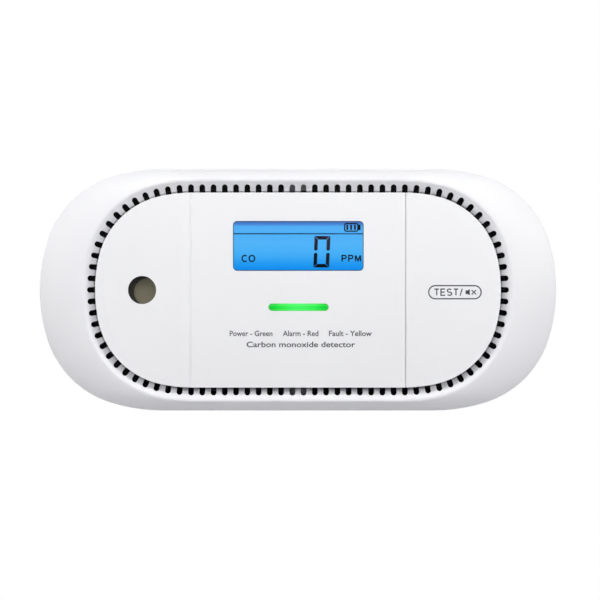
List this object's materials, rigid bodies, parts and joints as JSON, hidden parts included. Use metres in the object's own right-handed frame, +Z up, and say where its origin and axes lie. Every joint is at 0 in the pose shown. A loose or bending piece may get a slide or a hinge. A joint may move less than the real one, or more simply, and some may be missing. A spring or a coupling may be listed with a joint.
{
  "type": "carbon monoxide alarm",
  "caption": "Wall-hung carbon monoxide alarm: a long rounded case with a vented rim, lit display, status bar, press panel and battery door.",
  "frame": {"origin": "middle of the wall plate's back face, on the wall", "axes": "+X to the right as seen from the room, +Z up, -Y out of the wall towards the room"},
  "size_m": [0.16, 0.0361, 0.0748],
  "materials": {
    "shell_white": "fine matte moulding",
    "panel_white": "fine matte moulding",
    "rear_white": "matte moulding",
    "plate_white": "matte moulding",
    "black_mesh": "matte",
    "clear_window": "clear polished",
    "lcd_blue": "backlit",
    "diffuser_white": "satin",
    "led_yellow": "gloss",
    "dark_rubber": "matte",
    "green_light": "glowing, gloss",
    "board_green": "solder mask",
    "black_plastic": "matte",
    "chip_black": "matte epoxy",
    "tinned_metal": "bright tin",
    "gold_metal": "gold plated",
    "disc_brass": "dull nickel brass",
    "ceramic_white": "fired silver",
    "foam_grey": "foam",
    "ferrite": "matte ferrite",
    "copper_wire": "enamelled copper",
    "can_metal": "satin can",
    "sleeve_blue": "shrink sleeve",
    "zinc_steel": "zinc plated",
    "label_silver": "satin foil"
  },
  "bodies": {
    "wall_plate": {"wall_plate": "plate_white"},
    "alarm": {"rear_housing": "rear_white", "front_cover": "shell_white", "face_plate": "panel_white", "vent_screen": "black_mesh", "display_window": "clear_window", "lcd_frame": "diffuser_white", "lcd_glass": "lcd_blue", "lcd_backlight": "diffuser_white", "backlight_led": "led_yellow", "zebra_strips": "dark_rubber", "light_pipe": "green_light", "status_leds": "led_yellow", "circuit_board": "board_green", "test_switch": "black_plastic", "sounder_diaphragm": "disc_brass", "sounder_ceramic": "ceramic_white", "sounder_gasket": "foam_grey", "sounder_clamp": "black_plastic", "sounder_springs": "gold_metal", "co_sensor": "can_metal", "sensor_cap": "black_plastic", "sensor_pins": "gold_metal", "microcontroller": "chip_black", "controller_leads": "tinned_metal", "sounder_coil": "ferrite", "coil_winding": "copper_wire", "capacitors": "sleeve_blue", "chip_parts": "ceramic_white", "board_screws": "zinc_steel", "housing_screws": "zinc_steel", "battery_cell": "can_metal", "cell_sleeve": "sleeve_blue", "battery_spring": "tinned_metal", "negative_contact": "tinned_metal", "positive_contact": "tinned_metal", "rating_label": "label_silver"},
    "test_button": {"test_button": "panel_white"},
    "switch_plunger": {"switch_plunger": "black_plastic"},
    "battery_door": {"battery_door": "rear_white"}
  },
  "joints": [
    {"name": "lift_off_plate", "type": "slide", "parent": "wall_plate", "child": "alarm", "axis": [0, 0, 1], "range_m": [0, 0.013]},
    {"name": "test_panel_press", "type": "hinge", "parent": "alarm", "child": "test_button", "pos_m": [0.0365, -0.0316, 0], "axis": [0, 0, 1], "range_deg": [0, 1.1], "stiffness_Nm_per_rad": 1.4},
    {"name": "switch_travel", "type": "slide", "parent": "alarm", "child": "switch_plunger", "axis": [0, 1, 0], "range_m": [0, 0.00027]},
    {"name": "battery_door_swing", "type": "hinge", "parent": "alarm", "child": "battery_door", "pos_m": [0.063, -0.0026, 0], "axis": [0, 0, -1], "range_deg": [0, 90]}
  ],
  "couplings": [
    {"joint": "switch_travel", "follows": "test_panel_press", "m_per_rad": 0.0135}
  ]
}
